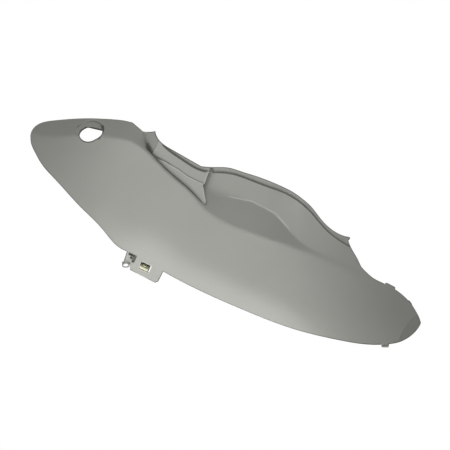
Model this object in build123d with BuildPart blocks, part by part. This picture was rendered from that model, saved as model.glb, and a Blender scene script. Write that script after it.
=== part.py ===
from build123d import *
from math import cos, radians, sin, sqrt
import os

os.makedirs("parts", exist_ok=True)

# Rear side panel of a scooter, right-hand side, with the spring nut on its lower tab.
# The panel is one injection-moulded shell. It stands as it does on the scooter: X forward,
# Z up, Y towards the scooter's centre line, so the painted face looks along -Y. Its long
# axis falls towards the front. Sizes are millimetres. Positions on the panel are given as
# along (from the tail tip towards the front), up (across the panel) and out (outboard).
# The origin is the centre of the screw eye at the tail end of the lower tab.

# Panel
rake = 25
wall = 2.8
crown = 101
base = -170

# Main face: how it falls away to the tail, to the front and to the lower edge
tail_drop = 77
tail_reach = 185
front_drop = 127
front_reach = 245
front_power = 2.34
front_start = 338
front_turn = 41
belly_drop = 20
belly_height = 68
belly_at = 420
belly_reach = 430
skirt = 34

# Steeper return across the front tip
tip_along = 760
tip_up = -20
tip_slope = (1.42, 0.5)

# Recess and shoulder: length of the roll over the shoulder, and its largest share of the floor
shoulder_blend = 5
roll_share = 0.4
valley_share = 0.35
face_shares = (0, 0.18, 0.36, 0.54, 0.77, 1)

# Space that the panel is cut from
blank_along = (-7, 785)
blank_up = (-146, 116)
blank_floor = 5
reach_out = 200

# Raised triangular plate behind the recess; its tail end ramps down into the shoulder
plate_out = 95.6
plate_step = 1.6
plate_depth = 120
ramp_along = 215
ramp_slope = 0.5
plate_edge = [
    (168, 55), (175, 81), (179, 97), (181, 125), (315, 125), (317.8, 75.3), (319.6, 58.3), (317.7, 54.8),
    (328, 39.8), (337, 26.5), (350, 4), (326, -6), (290, 4), (250, 26), (210, 44),
]
plate_low_edge = [
    (200, 66), (224, 64.7), (238, 63.7), (267, 61.1), (287, 56.8), (318.5, 56.8), (317.7, 54.8),
    (328, 39.8), (337, 26.5), (350, 4), (326, -6), (290, 4), (250, 26), (210, 44),
]

# Flange under the seat, and the small tongues that slip behind the neighbouring parts:
# tongues as along, up, turn, length, width
flange_step = 2.5
edge_tongue_places = [(702, 28.4, -2, 21, 14), (746.4, 16.6, -27, 12, 12), (737, -65, 24, 14, 15)]
edge_tongue_corner = 3
band_line = [
    (222, 89.5), (237.1, 84.8), (264.1, 80.2), (293.8, 76.5), (307.4, 77.5), (336.2, 88.3), (352.7, 94.2),
    (382.8, 98.7), (423.4, 101.5), (459.8, 104.2), (494.6, 99.5), (524.2, 88.8), (548.7, 77.3),
    (576.9, 69.6), (606, 66),
]
band_end = 640
band_top = 130

# Screw eye on the tab
eye_along = 252.9
eye_up = -134.5
eye_out = 79
eye_bore = 10
eye_rim = 1.7
eye_thickness = 2
eye_lean = 40
eye_neck = 8.5

# Tail hole in its round pocket
pocket_along = 92
pocket_up = 55
pocket_out = 73.5
pocket_bore = 53
pocket_lean = (-0.588, 0.6875)
hole_along = 97
hole_up = 52.5
hole_bore = 42
hole_height = 34.4
hole_flat = 3

# Lower tab: window with the tongue that carries the spring nut
tab_along = 286
tab_up = -123.3
tab_low = -115
window_width = 20
window_height = 15
tongue_width = 13
tongue_thickness = 3
tongue_depth = 15
tongue_setback = 1.2
tongue_shift = -1.3
tongue_up = -4.6
tongue_web = 2.5
shelf_up = -12.2
web_width = 19
web_top = 2.5
screw_depth = 7.5
screw_clearance = 6.5

# Latch beside the window: an angled groove round a pad with a blind dimple
latch_at = (-29.5, 6)
latch_pad = 8
latch_slot = 2.8
latch_dimple = 3.6
latch_depth = 2.2

# Spring nut
nut_width = 16.3
nut_sheet = 0.8
nut_length = 11.5
nut_bend = 1.3
nut_bore = 4.6
nut_collar = 7
nut_collar_height = 2.4

# Stiffening ribs on the hidden side: cross ribs as along, low end, top end
rib_thickness = 1.8
rib_height = 9
rib_sink = 1
cross_ribs = [
    (150, -66, 48), (215, -92, 40), (352, -104, 0), (430, -104, 2), (508, -102, 8), (586, -96, 12), (650, -82, 8),
]
long_rib = (400, -50, 500)

raked_plane = Plane(
    origin=(0, 0, 0),
    x_dir=(cos(radians(rake)), 0, -sin(radians(rake))),
    z_dir=(0, -1, 0),
)
face_plane = Plane(
    origin=raked_plane.from_local_coords((-eye_along, -eye_up, -eye_out)),
    x_dir=raked_plane.x_dir,
    z_dir=raked_plane.z_dir,
)
pocket_plane = Plane(
    origin=face_plane.from_local_coords((pocket_along, pocket_up, pocket_out)),
    x_dir=(1, 0, 0),
    z_dir=face_plane.z_dir + face_plane.x_dir * pocket_lean[0] + face_plane.y_dir * pocket_lean[1],
)
hole_plane = Plane(
    origin=face_plane.from_local_coords((hole_along, hole_up, pocket_out)),
    x_dir=pocket_plane.x_dir,
    z_dir=pocket_plane.z_dir,
)
eye_plane = Plane(
    origin=(0, 0, 0),
    x_dir=(1, 0, 0),
    z_dir=(0, sin(radians(eye_lean)), -cos(radians(eye_lean))),
)


def lower_drop(along, rise):
    """Turn-in of the face towards its lower edge, straight below the edge itself."""
    depth = belly_drop * (1 - ((along - belly_at) / belly_reach) ** 2)
    if rise >= belly_height:
        return 0
    if rise >= 0:
        return depth * (1 - rise / belly_height) ** 2
    return depth * (1 - 2 * rise / belly_height)


def face_out(along, up, low):
    """Outboard height of the plain convex face."""
    tail = tail_drop * (max(tail_reach - along, 0) / tail_reach) ** 2
    travel = along * cos(radians(front_turn)) + up * sin(radians(front_turn)) - front_start
    front = front_drop * (max(travel, 0) / front_reach) ** front_power
    return crown - tail - front - lower_drop(along, up - low)


def steepness(along, up, low, slope):
    """Growth of a wall's depth along the draw where the face leans."""
    along_slope = (face_out(along + 1, up, low) - face_out(along - 1, up, low)) / 2
    return sqrt(1 + along_slope**2 + slope**2)


# along, lower edge, shoulder, valley, valley's drop, top, top's drop, valley's blend
stations = [
    (-30, -8, 4, 26, 9, 60, 36, 3),
    (-10, -10, 6, 26, 9, 62, 37, 3),
    (15, -18, 9, 31, 10, 70, 38, 3),
    (45, -36, 20, 44, 11, 80, 38, 3),
    (81, -52, 40, 63, 12, 98, 40, 3),
    (126, -71, 56, 78, 13, 114, 42, 3),
    (172, -88, 66, 86, 14, 122, 44, 3),
    (215, -106, 57, 72, 20, 124, 52, 4),
    (260, -113.5, 41, 58, 24, 122, 48, 6),
    (305, -116, 27.5, 50, 28, 118, 43, 8),
    (345, -118, 9.5, 55, 29.5, 118, 40.5, 11),
    (395, -119.5, 4, 62.5, 34.5, 124, 44.5, 1.5),
    (435, -119.3, 7.2, 64.5, 35, 126, 44, 1.2),
    (462, -118.6, 10.5, 58.5, 32, 124.5, 41, 1.2),
    (486, -117.8, 14, 48, 24, 121, 29, 1.2),
    (512, -116.5, 16.5, 38, 13.5, 116, 23.5, 1.2),
    (545, -114, 18.5, 33, 5.5, 104, 15, 1.5),
    (580, -110, 20, 34, 3, 96, 7, 4),
    (620, -103, 21, 35, 2, 92, 3, 4),
    (665, -93, 18, 34, 0.5, 84, 0.5, 4),
    (705, -82, 10, 28, 0, 72, 0, 4),
    (745, -68, 2, 20, 0, 60, 0, 4),
    (785, -60, -5, 17, 0, 54, 0, 4),
    (820, -54, -9, 14, 0, 48, 0, 4),
]


def section(station, inset):
    """Closed profile across the panel, from the base up to the face less an inset."""
    along, low, shoulder, valley, valley_drop, top, top_drop, valley_blend = station
    reach = 2 * inset
    if station is stations[0]:
        along -= reach
    if station is stations[-1]:
        along += reach
    span = shoulder - low
    roll = min(shoulder_blend, (valley - shoulder) * roll_share)
    blend = min(valley_blend, (valley - shoulder) * valley_share)
    rises = [low - skirt - reach] + [low + span * share for share in face_shares]

    def point(up, drop, slope):
        return (up, face_out(along, up, low) - drop - inset * steepness(along, up, low, slope))

    def plain(up):
        slope = (face_out(along, up + 1, low) - face_out(along, up - 1, low)) / 2
        return point(up, 0, slope)

    face_points = [plain(up) for up in rises]
    valley_out = face_out(along, valley, low) - valley_drop
    floor_slope = (face_out(along, shoulder, low) - valley_out) / (valley - shoulder)
    wall_slope = (valley_out - face_out(along, top, low) + top_drop) / (top - valley)
    corner = point(shoulder + roll, 0, floor_slope / 2)
    valley_point = point(valley, valley_drop, (floor_slope + wall_slope) / 2)
    top_point = point(top + reach, top_drop + reach * wall_slope, wall_slope)
    roll_end = Vector(*corner) + (Vector(*valley_point) - Vector(*corner)).normalized() * roll
    into_valley = Vector(*valley_point) + (Vector(*corner) - Vector(*valley_point)).normalized() * blend
    from_valley = Vector(*valley_point) + (Vector(*top_point) - Vector(*valley_point)).normalized() * blend
    floor = base - inset
    plane = Plane(
        origin=face_plane.from_local_coords((along, 0, 0)),
        x_dir=face_plane.y_dir,
        z_dir=face_plane.x_dir,
    )
    with BuildSketch(plane) as sketch:
        with BuildLine():
            Spline(*face_points, tangents=(
                Vector(*face_points[1]) - Vector(*face_points[0]),
                Vector(*corner) - Vector(*face_points[-1]),
            ))
            Bezier(face_points[-1], corner, roll_end)
            Line(roll_end, into_valley)
            Bezier(into_valley, valley_point, from_valley)
            Line(from_valley, top_point)
            Polyline(top_point, (top + reach, floor), (low - skirt - reach, floor), face_points[0])
        make_face()
    return sketch.sketch


def plate(inset):
    """Raised plate's block, less an inset on its face and sides."""
    with BuildPart() as block:
        for edge, out in ((plate_edge, plate_out - plate_step), (plate_low_edge, plate_out)):
            with BuildSketch(face_plane.offset(out - inset)):
                with BuildLine():
                    Polyline(*edge, close=True)
                make_face()
                if inset:
                    offset(amount=-inset, mode=Mode.REPLACE)
            extrude(amount=-plate_depth)
        split(bisect_by=ramp_plane.offset(-inset), keep=Keep.BOTTOM)
    return block.part


ramp_plane = Plane(
    origin=face_plane.from_local_coords((ramp_along, 0, plate_out)),
    x_dir=face_plane.y_dir,
    z_dir=face_plane.z_dir - face_plane.x_dir * ramp_slope,
)
tip_plane = Plane(
    origin=face_plane.from_local_coords((tip_along, tip_up, face_out(tip_along, tip_up, stations[-2][1]))),
    x_dir=face_plane.y_dir,
    z_dir=face_plane.z_dir + face_plane.x_dir * tip_slope[0] + face_plane.y_dir * tip_slope[1],
)
tab_slope = (face_out(tab_along, tab_up + 1, tab_low) - face_out(tab_along, tab_up - 1, tab_low)) / 2
tab_plane = Plane(
    origin=face_plane.from_local_coords((tab_along, tab_up, face_out(tab_along, tab_up, tab_low))),
    x_dir=face_plane.x_dir,
    z_dir=face_plane.z_dir - face_plane.y_dir * tab_slope,
)
screw_plane = Plane(
    origin=tab_plane.from_local_coords((tongue_shift, tongue_up, -screw_depth)),
    x_dir=tab_plane.x_dir,
    z_dir=tab_plane.y_dir,
)
nut_plane = Plane(
    origin=tab_plane.from_local_coords((tongue_shift - nut_width / 2, tongue_up, -tongue_setback)),
    x_dir=tab_plane.z_dir,
    z_dir=tab_plane.x_dir,
)

outer_plate = plate(0)
inner_plate = plate(wall)

# Solid under the painted surface: face, recess and shoulder, plate, pocket
with BuildPart() as outer_form:
    loft(sections=[section(station, 0) for station in stations])
    split(bisect_by=tip_plane, keep=Keep.BOTTOM)
    add(outer_plate)
    with BuildSketch(pocket_plane):
        Circle(pocket_bore / 2)
    extrude(amount=pocket_bore, mode=Mode.SUBTRACT)

# The same solid a wall's thickness further in
with BuildPart() as inner_form:
    loft(sections=[section(station, wall) for station in stations])
    split(bisect_by=tip_plane.offset(-wall), keep=Keep.BOTTOM)
    add(inner_plate)
    with BuildSketch(pocket_plane.offset(-wall)):
        Circle(pocket_bore / 2 + wall)
    extrude(amount=pocket_bore, mode=Mode.SUBTRACT)

# Untrimmed shell
with BuildPart() as blank:
    add(outer_form.part)
    with BuildSketch(face_plane.offset(base + blank_floor)):
        with Locations((sum(blank_along) / 2, sum(blank_up) / 2)):
            Rectangle(blank_along[1] - blank_along[0], blank_up[1] - blank_up[0])
    extrude(amount=crown - base, mode=Mode.INTERSECT)
    add(inner_form.part, mode=Mode.SUBTRACT)

with BuildSketch(face_plane) as outline:
    with BuildLine():
        nose = Spline((-0.7, -0.3), (-4.5, 11.8), (-2.6, 22.6), (5.8, 34.5), (22.2, 46.1), (47, 60.2),
                      (82.3, 78.1), (109.3, 89.3), (145.3, 101.5), (155.6, 103.3))
        Line(nose @ 1, (179, 97))
        horn = Spline((179, 97), (190.5, 100.9), (199.4, 106.5))
        Spline(horn @ 1, (205.9, 99), (218.2, 92.6), (236.3, 89.5))
        Polyline((236.3, 89.5), (267.3, 86.9), (301.1, 84.2))
        seat = Spline((301.1, 84.2), (323.9, 93.4), (346.6, 103), (371.3, 106.6), (400.1, 110.5), (424.2, 112.4),
                      (448.3, 113.1), (475.7, 111.6), (491.8, 108.2), (507.7, 103.7), (537.4, 89.1), (566.4, 79.8),
                      (585.7, 79.3), (597.3, 81.9))
        Polyline(seat @ 1, (599.3, 79.9), (598.1, 74.7))
        front = Spline((598.1, 74.7), (612.4, 62.3), (628.7, 50.9), (639.7, 42.1), (650.6, 37.6), (667, 33),
                       (688.6, 32.3), (712.2, 31.2), (739, 24.8), (753.6, 18.3), (766.3, 10), (777.6, 1.1),
                       (782.5, -4.5))
        lower = Spline((782.5, -4.5), (782.2, -12.6), (779, -24.8), (771.5, -39), (760, -52.3), (744.5, -63.2),
                       (712.1, -79), (656, -95.3), (575.2, -111.1), (483.4, -118), (370.1, -119.4),
                       (319, -116.5))
        Polyline(lower @ 1, (318.9, -123.4), (318.4, -136.3), (314, -141.1), (264, -139.2), (261.5, -137),
                 (259.2, -131.7), (246.6, -131.7), (244.4, -111.3))
        Spline((244.4, -111.3), (222.4, -109.4), (190.4, -94.9), (132, -73.1), (73.3, -49), (37.5, -33.6),
               (17.8, -19.9), (4.1, -8), (-0.7, -0.3))
    make_face()

with BuildSketch(face_plane) as band:
    with BuildLine():
        inner_line = Spline(*band_line)
        Polyline(inner_line @ 1, (band_end, band_top), (band_line[0][0], band_top), inner_line @ 0)
    make_face()

with BuildSketch(face_plane) as wide_band:
    with BuildLine():
        inner_line = Spline(*[(along, up - wall) for along, up in band_line])
        Polyline(inner_line @ 1, (band_end, band_top), (band_line[0][0], band_top), inner_line @ 0)
    make_face()

face_field = outline.sketch - band.sketch
flange_field = outline.sketch & wide_band.sketch

# Sunk flange that the seat's rim covers
with BuildPart() as flange:
    add(blank.part.moved(Location(face_plane.z_dir * -flange_step)))
    extrude(flange_field, amount=reach_out, both=True, mode=Mode.INTERSECT)

# Tongues at the front, at the flange's level
with BuildPart() as edge_tongues:
    add(blank.part.moved(Location(face_plane.z_dir * -flange_step)))
    with BuildSketch(face_plane):
        for along, up, turn, length, width in edge_tongue_places:
            with Locations(Location((along, up), turn)):
                RectangleRounded(length, width, edge_tongue_corner)
    extrude(amount=reach_out, both=True, mode=Mode.INTERSECT)

# Stiffening ribs on the hidden side
with BuildPart() as ribs:
    add(outer_form.part.moved(Location(face_plane.z_dir * -rib_sink)))
    with BuildSketch(face_plane):
        for along, low, top in cross_ribs:
            with Locations((along, (low + top) / 2)):
                Rectangle(rib_thickness, top - low)
        with Locations(long_rib[:2]):
            Rectangle(long_rib[2], rib_thickness)
    extrude(amount=reach_out, both=True, mode=Mode.INTERSECT)
    add(inner_form.part.moved(Location(face_plane.z_dir * -rib_height)), mode=Mode.SUBTRACT)

with BuildPart() as side_panel:
    add(blank.part)
    extrude(face_field, amount=reach_out, both=True, mode=Mode.INTERSECT)
    add([flange.part, edge_tongues.part, ribs.part])

    # Tail hole, flat along its upper side
    with BuildSketch(hole_plane):
        Ellipse(hole_bore / 2, hole_height / 2)
        with Locations((0, hole_height / 2)):
            Rectangle(2 * hole_bore, 2 * hole_flat, rotation=-rake, mode=Mode.SUBTRACT)
    extrude(amount=hole_bore, both=True, mode=Mode.SUBTRACT)

    # Screw eye
    with BuildSketch(eye_plane.offset(-eye_thickness / 2)):
        Circle(eye_bore / 2 + eye_rim)
        with Locations((0, -eye_neck / 2)):
            Rectangle(eye_bore + 2 * eye_rim, eye_neck)
    extrude(amount=eye_thickness)
    with BuildSketch(eye_plane):
        Circle(eye_bore / 2)
    extrude(amount=eye_thickness, both=True, mode=Mode.SUBTRACT)

    # Latch: groove over and beside the pad, dimple in it
    with BuildSketch(tab_plane):
        with Locations(latch_at):
            with Locations((0, (latch_pad + latch_slot) / 2)):
                Rectangle(latch_pad + 2 * latch_slot, latch_slot)
            with Locations(((latch_pad + latch_slot) / 2, 0)):
                Rectangle(latch_slot, latch_pad + 2 * latch_slot)
            Circle(latch_dimple / 2)
    extrude(amount=latch_depth, both=True, mode=Mode.SUBTRACT)

    # Window, and behind it the shelf and web that hold the nut's tongue
    with BuildSketch(tab_plane):
        Rectangle(window_width, window_height)
    extrude(amount=3 * wall, both=True, mode=Mode.SUBTRACT)
    with BuildSketch(tab_plane.offset(-wall / 2)):
        with Locations((tongue_shift, shelf_up)):
            Rectangle(web_width, tongue_web)
    extrude(amount=wall / 2 - tongue_depth - tongue_web)
    with BuildSketch(tab_plane.offset(-tongue_depth)):
        with Locations((tongue_shift, (shelf_up - tongue_web / 2 + web_top) / 2)):
            Rectangle(web_width, web_top - shelf_up + tongue_web / 2)
    extrude(amount=-tongue_web)
    with BuildSketch(tab_plane.offset(-tongue_setback)):
        with Locations((tongue_shift, tongue_up)):
            Rectangle(tongue_width, tongue_thickness)
    extrude(amount=tongue_setback - tongue_depth)
    with BuildSketch(screw_plane):
        Circle(screw_clearance / 2)
    extrude(amount=tongue_thickness, both=True, mode=Mode.SUBTRACT)

# Spring nut: sheet folded round the tongue's free end, with a threaded collar on its upper leaf
with BuildPart() as clip_nut:
    with BuildSketch(nut_plane):
        with BuildLine():
            leaf = (tongue_thickness + nut_sheet) / 2
            FilletPolyline((-nut_length, leaf), (nut_bend, leaf), (nut_bend, -leaf), (-nut_length, -leaf),
                           radius=nut_bend)
        trace(line_width=nut_sheet)
    extrude(amount=nut_width)
    with BuildSketch(screw_plane.offset(tongue_thickness / 2 + nut_sheet)):
        Circle(nut_collar / 2)
    extrude(amount=nut_collar_height)
    with BuildSketch(screw_plane):
        Circle(nut_bore / 2)
    extrude(amount=tongue_thickness + nut_collar_height, both=True, mode=Mode.SUBTRACT)

side_panel.part.label = "side_panel"
clip_nut.part.label = "clip_nut"
export_step(side_panel.part, "parts/side_panel.step")
export_step(clip_nut.part, "parts/clip_nut.step")
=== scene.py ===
import math

import bmesh
import bpy
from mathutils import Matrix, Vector


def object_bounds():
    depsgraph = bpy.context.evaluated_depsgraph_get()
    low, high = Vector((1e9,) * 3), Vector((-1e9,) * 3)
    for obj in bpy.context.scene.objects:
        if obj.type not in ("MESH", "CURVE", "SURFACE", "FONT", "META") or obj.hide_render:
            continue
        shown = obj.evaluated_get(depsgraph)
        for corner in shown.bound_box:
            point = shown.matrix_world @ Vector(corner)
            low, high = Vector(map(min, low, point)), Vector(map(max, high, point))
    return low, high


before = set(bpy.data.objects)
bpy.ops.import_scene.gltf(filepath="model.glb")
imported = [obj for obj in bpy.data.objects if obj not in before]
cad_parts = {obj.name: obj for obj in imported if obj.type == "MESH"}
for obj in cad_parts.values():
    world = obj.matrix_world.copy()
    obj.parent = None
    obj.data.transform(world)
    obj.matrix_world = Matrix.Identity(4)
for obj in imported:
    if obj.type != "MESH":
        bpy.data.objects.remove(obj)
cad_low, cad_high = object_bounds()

# Side panel: one injection moulding in grey plastic, sprayed on its outer face with a satin
# silver-grey metallic. Painted shade darkens the creases, the fold beside the plate and the
# rims, and painted highlights lighten some edges and a line along the foot of the recess. The
# spray stops at the edges, and only a mist of it reaches round onto the bare plastic inside.


class Coat:
    """A socket on its way through a finish. Arithmetic on values adds Math nodes."""

    def __init__(self, tree, socket=None):
        self.tree = tree
        self.socket = socket

    def node(self, kind, settings=None, inputs=None, output=0):
        made = self.tree.nodes.new(kind)
        for name, value in (settings or {}).items():
            setattr(made, name, value)
        for name, value in (inputs or {}).items():
            if isinstance(value, Coat):
                self.tree.links.new(value.socket, made.inputs[name])
            else:
                made.inputs[name].default_value = value
        return Coat(self.tree, made.outputs[output] if made.outputs else None)

    def value(self, operation, *operands):
        return self.node("ShaderNodeMath", {"operation": operation}, dict(enumerate(operands)))

    def __add__(self, other):
        return self.value("ADD", self, other)

    def __sub__(self, other):
        return self.value("SUBTRACT", self, other)

    def __rsub__(self, other):
        return self.value("SUBTRACT", other, self)

    def __mul__(self, other):
        return self.value("MULTIPLY", self, other)

    __radd__ = __add__
    __rmul__ = __mul__

    def between(self, low, high):
        """0 below low, 1 above high, smooth in between."""
        return self.node(
            "ShaderNodeMapRange",
            {"interpolation_type": "SMOOTHSTEP"},
            {"Value": self, "From Min": low, "From Max": high},
        )

    def outside(self, place, centre, turn, half_sizes):
        """0 inside an oval drawn on the panel's side view, 1 outside it, soft at its border."""
        from_centre = self.node(
            "ShaderNodeMapping",
            {"vector_type": "TEXTURE"},
            {
                "Vector": place,
                "Location": (centre[0], 0, centre[1]),
                "Rotation": (0, math.radians(turn), 0),
                "Scale": (half_sizes[0], 1, half_sizes[1]),
            },
        )
        distance = self.node(
            "ShaderNodeVectorMath", {"operation": "LENGTH"}, {0: from_centre}, output="Value"
        )
        return distance.between(0.8, 1.1)

    def nearness(self, distance, inside):
        """0 on open surface, towards 1 beside other walls, or with inside, beside edges."""
        open_share = self.node(
            "ShaderNodeAmbientOcclusion",
            {"samples": 12, "inside": inside, "only_local": True},
            {"Distance": distance},
            output="AO",
        )
        return 1 - open_share

    def grain(self, place, size, detail=2.0):
        """Soft random values about 0.5, whose patches are about size metres across."""
        return self.node(
            "ShaderNodeTexNoise",
            {},
            {"Vector": place, "Scale": 1 / size, "Detail": detail, "Roughness": 0.5},
        )

    def relief(self, height, strength, depth):
        """A surface normal that rises and falls with a value."""
        return self.node(
            "ShaderNodeBump", {}, {"Height": height, "Strength": strength, "Distance": depth}
        )

    def blend(self, share, first, second):
        """Colour that goes from first to second as share goes from 0 to 1."""
        factor, colour_a, colour_b, colour_out = 0, 6, 7, 2
        return self.node(
            "ShaderNodeMix",
            {"data_type": "RGBA"},
            {factor: share, colour_a: first, colour_b: second},
            output=colour_out,
        )


def finish(name):
    """An empty material and the start of its nodes."""
    material = bpy.data.materials.new(name)
    material.use_nodes = True
    material.node_tree.nodes.clear()
    return material, Coat(material.node_tree)


def dress(name, material):
    """Cover a piece of the model with one material."""
    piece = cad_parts[name]
    piece.data.materials.clear()
    piece.data.materials.append(material)


PAINT_DEEP = (0.338, 0.340, 0.314, 1)
PAINT_LIGHT = (0.352, 0.353, 0.327, 1)
FLAKE = (0.50, 0.50, 0.47, 1)
# Painted shade for the creases, the fold beside the plate and the rims.
PAINTED_SHADE = (0.09, 0.091, 0.08, 1)
# Painted highlight for the rims inside the ovals and for a line along the foot of the recess.
PAINTED_HIGHLIGHT = (0.62, 0.62, 0.585, 1)
BARE_PLASTIC = (0.05, 0.05, 0.048, 1)

# The spray thins out where the surface turns inwards, between these values of its normal's Y.
SPRAY_END = (-0.06, 0.12)
MIST_SPREAD = 0.25

# How far shelter is looked for, and how sheltered a place is where the painted shade of a
# crease, the fold beside the plate or a rim begins and where it is complete.
CREASE_REACH = 0.010
CREASE_SHELTER = (0.10, 0.17)
FOLD_SHELTER = (0.06, 0.12)
RIM_REACH = 0.0019
RIM_SHELTER = (0.01, 0.07)

# Ovals where the painted crease shade is weaker and rims get a painted highlight in place of
# painted shade: centre (x, z), turn, half sizes.
HIGHLIGHT_OVALS = {
    "plate_step": ((0.107, 0.165), 30, (0.052, 0.010)),
    "plate_front": ((0.1465, 0.142), 100, (0.033, 0.009)),
    "plate_head": ((0.0335, 0.231), 75, (0.014, 0.009)),
    "window": ((0.036, -0.008), 25, (0.024, 0.015)),
    "screw_eye": ((0.0, -0.001), 0, (0.012, 0.0085)),
    "tail_pocket": ((-0.064, 0.2585), 0, (0.029, 0.010)),
    "upper_tongue": ((0.476, -0.0385), 30, (0.012, 0.008)),
    "lower_tongue": ((0.467, -0.1455), 0, (0.008, 0.0055)),
}
# The same measures for the fold beside the plate, which gets painted shade, and for the
# painted highlight line that runs along the foot of the recess.
PLATE_FOLD = ((0.0914, 0.1615), 47, (0.086, 0.007))
RECESS_HIGHLIGHT_LINE = (
    ((0.2057, 0.1191), 12, (0.025, 0.0016)),
    ((0.2479, 0.1040), 27, (0.028, 0.0016)),
    ((0.2824, 0.0787), 49, (0.022, 0.0014)),
)

# How far the paint's colour goes towards the flake colour, the painted shade and the painted
# highlight of each of its marks.
FLAKE_SHARE = 0.3
FOLD_SHADE_SHARE = 0.6
RIM_SHADE_SHARE = 0.9
EDGE_HIGHLIGHT_SHARE = 0.35
RECESS_HIGHLIGHT_SHARE = 0.4
CREASE_SHADE_IN_OVALS = 0.25
CREASE_SHADE_ELSEWHERE = 0.9

silver_paint, coat = finish("satin_silver_paint")
place = coat.node("ShaderNodeTexCoord", output="Object")
facing = coat.node("ShaderNodeNewGeometry", output="Normal")
inward = coat.node("ShaderNodeSeparateXYZ", inputs={"Vector": facing}, output="Y")
mist = coat.grain(place, size=0.012, detail=3.0)
bare = (inward + (mist - 0.5) * MIST_SPREAD).between(*SPRAY_END)

cloud = coat.grain(place, size=0.11)
flake = coat.grain(place, size=0.0006, detail=1.0)
tone = coat.blend(cloud.between(0.3, 0.7), PAINT_DEEP, PAINT_LIGHT)
tone = coat.blend(flake.between(0.62, 0.8) * FLAKE_SHARE, tone, FLAKE)

plain = 1
for oval in HIGHLIGHT_OVALS.values():
    plain = plain * coat.outside(place, *oval)
# Painted shade: where ambient occlusion finds a crease, the fold beside the plate or a rim, the
# paint's colour is darkened; inside the ovals the crease shade is weaker and rims get none.
shelter = coat.nearness(CREASE_REACH, inside=False)
crease = shelter.between(*CREASE_SHELTER)
fold = shelter.between(*FOLD_SHELTER) * (1 - coat.outside(place, *PLATE_FOLD))
rim = coat.nearness(RIM_REACH, inside=True).between(*RIM_SHELTER)
crease_shade_share = CREASE_SHADE_IN_OVALS + plain * (CREASE_SHADE_ELSEWHERE - CREASE_SHADE_IN_OVALS)
tone = coat.blend(crease * crease_shade_share, tone, PAINTED_SHADE)
tone = coat.blend(fold * FOLD_SHADE_SHARE, tone, PAINTED_SHADE)
tone = coat.blend(rim * plain * RIM_SHADE_SHARE, tone, PAINTED_SHADE)
# Painted highlight on the rims inside the ovals.
tone = coat.blend(rim * (1 - plain) * EDGE_HIGHLIGHT_SHARE, tone, PAINTED_HIGHLIGHT)
# Painted highlight along the foot of the recess.
for oval in RECESS_HIGHLIGHT_LINE:
    tone = coat.blend((1 - coat.outside(place, *oval)) * RECESS_HIGHLIGHT_SHARE, tone, PAINTED_HIGHLIGHT)
colour = coat.blend(bare, tone, BARE_PLASTIC)

peel = coat.grain(place, size=0.0035)
tooth = coat.grain(place, size=0.0008, detail=3.0)
skin = coat.relief(peel + bare * tooth * 1.5, strength=0.25, depth=0.00006)
smear = coat.grain(place, size=0.03, detail=4.0)
shader = coat.node(
    "ShaderNodeBsdfPrincipled",
    {},
    {
        "Base Color": colour,
        "Metallic": (1 - bare) * 0.15,
        "Roughness": 0.48 + smear * 0.06 + bare * 0.1,
        "Specular IOR Level": 0.3,
        "Normal": skin,
    },
)
coat.node("ShaderNodeOutputMaterial", inputs={"Surface": shader})

dress("side_panel", silver_paint)

# Spring nut: a strip of spring steel folded round the lower tab's tongue, zinc plated and
# yellow passivated, which leaves it olive with a faint rainbow. The seat's side screw
# threads into its collar.

OLIVE = (0.60, 0.60, 0.43, 1)
STRAW = (0.70, 0.69, 0.51, 1)
ROSE = (0.66, 0.61, 0.48, 1)
ROSE_SHARE = 0.5

passivated_steel, coat = finish("yellow_passivated_steel")
place = coat.node("ShaderNodeTexCoord", output="Object")
tint = coat.grain(place, size=0.006)
bloom = coat.grain(place, size=0.0025, detail=3.0)
plating = coat.blend(tint.between(0.35, 0.65), OLIVE, STRAW)
plating = coat.blend(bloom.between(0.55, 0.75) * ROSE_SHARE, plating, ROSE)
rolled = coat.grain(place, size=0.0005)
skin = coat.relief(rolled, strength=0.2, depth=0.00005)
shader = coat.node(
    "ShaderNodeBsdfPrincipled",
    {},
    {
        "Base Color": plating,
        "Metallic": 0.2,
        "Roughness": 0.5 + bloom * 0.12,
        "Normal": skin,
    },
)
coat.node("ShaderNodeOutputMaterial", inputs={"Surface": shader})

dress("clip_nut", passivated_steel)

# Studio floor: a sheet of pale paper far below the hung panel, as white to the eye as the
# surround, and clear from below so that it hides nothing.

FLOOR_DROP = 2.4
FLOOR_SIZE = 16.0
FLOOR_COLOUR = (0.86, 0.86, 0.86, 1)
FLOOR_GLOW = 0.95

sheet = bmesh.new()
bmesh.ops.create_grid(sheet, x_segments=1, y_segments=1, size=FLOOR_SIZE / 2)
bmesh.ops.translate(sheet, verts=sheet.verts, vec=(0, 0, -FLOOR_DROP))
floor_mesh = bpy.data.meshes.new("studio_floor")
sheet.to_mesh(floor_mesh)
sheet.free()
floor = bpy.data.objects.new("studio_floor", floor_mesh)
bpy.context.scene.collection.objects.link(floor)

floor_finish, coat = finish("floor_paper")
paper = coat.node("ShaderNodeBsdfPrincipled", {}, {"Base Color": FLOOR_COLOUR, "Roughness": 0.9})
looked_at = coat.node("ShaderNodeLightPath", output="Is Camera Ray")
glow = coat.node(
    "ShaderNodeEmission",
    {},
    {"Color": (1, 1, 1, 1), "Strength": looked_at * FLOOR_GLOW},
)
lit_paper = coat.node("ShaderNodeAddShader", {}, {0: paper, 1: glow})
from_below = coat.node("ShaderNodeNewGeometry", output="Backfacing")
clear = coat.node("ShaderNodeBsdfTransparent")
one_sided = coat.node("ShaderNodeMixShader", {}, {0: from_below, 1: lit_paper, 2: clear})
coat.node("ShaderNodeOutputMaterial", inputs={"Surface": one_sided})
floor_mesh.materials.append(floor_finish)

# Surround and lamps: a white room that is seen and mirrored at full strength but lights the
# panel only weakly. A broad lamp low in front, two weaker ones in front and above, a small
# one close to the tab and a broad one behind give the light.

AMBIENT = 0.10
TAB_LAMP_PLACE = Vector((0.035, -0.085, 0.015))
TAB_MIDDLE = Vector((0.03, 0, 0))

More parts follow.
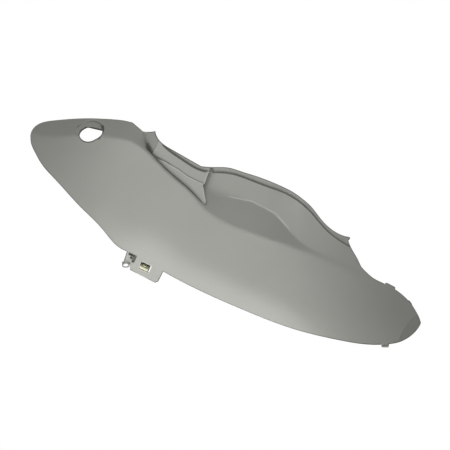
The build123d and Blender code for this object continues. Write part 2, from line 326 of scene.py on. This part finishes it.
world = bpy.data.worlds.new("white_surround")
bpy.context.scene.world = world
world.use_nodes = True
world.node_tree.nodes.clear()
air = Coat(world.node_tree)
looked_at = air.node("ShaderNodeLightPath", output="Is Camera Ray")
mirrored = air.node("ShaderNodeLightPath", output="Is Glossy Ray")
let_through = air.node("ShaderNodeLightPath", output="Is Transmission Ray")
seen = air.value("MINIMUM", looked_at + mirrored + let_through, 1.0)
surround = air.node(
    "ShaderNodeBackground",
    {},
    {"Color": (1, 1, 1, 1), "Strength": AMBIENT + seen * (1 - AMBIENT)},
)
air.node("ShaderNodeOutputWorld", inputs={"Surface": surround})

middle = (cad_low + cad_high) / 2


def round_panel(azimuth, elevation, distance=1.5):
    """A point seen from the panel's middle: azimuth from straight in front towards +X."""
    a, e = math.radians(azimuth), math.radians(elevation)
    across = math.cos(e)
    return middle + distance * Vector((math.sin(a) * across, -math.cos(a) * across, math.sin(e)))


def lamp(name, place, aim, size, power):
    """A square soft lamp that looks at a point."""
    data = bpy.data.lights.new(name, "AREA")
    data.shape = "SQUARE"
    data.size = size
    data.energy = power
    made = bpy.data.objects.new(name, data)
    made.location = place
    made.rotation_euler = (aim - place).to_track_quat("-Z", "Y").to_euler()
    made.visible_camera = False
    bpy.context.scene.collection.objects.link(made)


lamp("low_lamp", round_panel(azimuth=-25, elevation=-50), middle, size=1.0, power=17.8)
lamp("high_lamp", round_panel(azimuth=0, elevation=25), middle, size=1.0, power=7.8)
lamp("nose_lamp", round_panel(azimuth=50, elevation=25), middle, size=1.0, power=2.0)
lamp("tab_lamp", TAB_LAMP_PLACE, TAB_MIDDLE, size=0.05, power=0.008)
lamp("back_lamp", round_panel(azimuth=180, elevation=30, distance=2.5), middle, size=1.5, power=30)

# Camera: level and square to the panel's outer side, with a narrow view from so far away
# that the wrapped ends are seen at nearly the same scale as the middle.

CAMERA_PLACE = (0.17865, -12.0, 0.0722)
VIEW_WIDTH = 0.81
SENSOR = 36.0

camera_data = bpy.data.cameras.new("camera")
camera_data.sensor_width = SENSOR
camera_data.lens = SENSOR * -CAMERA_PLACE[1] / VIEW_WIDTH
camera_data.clip_end = 60
camera = bpy.data.objects.new("camera", camera_data)
camera.location = CAMERA_PLACE
camera.rotation_euler = (math.radians(90), 0, 0)
bpy.context.scene.collection.objects.link(camera)
bpy.context.scene.camera = camera
bpy.context.scene.view_settings.view_transform = "Standard"
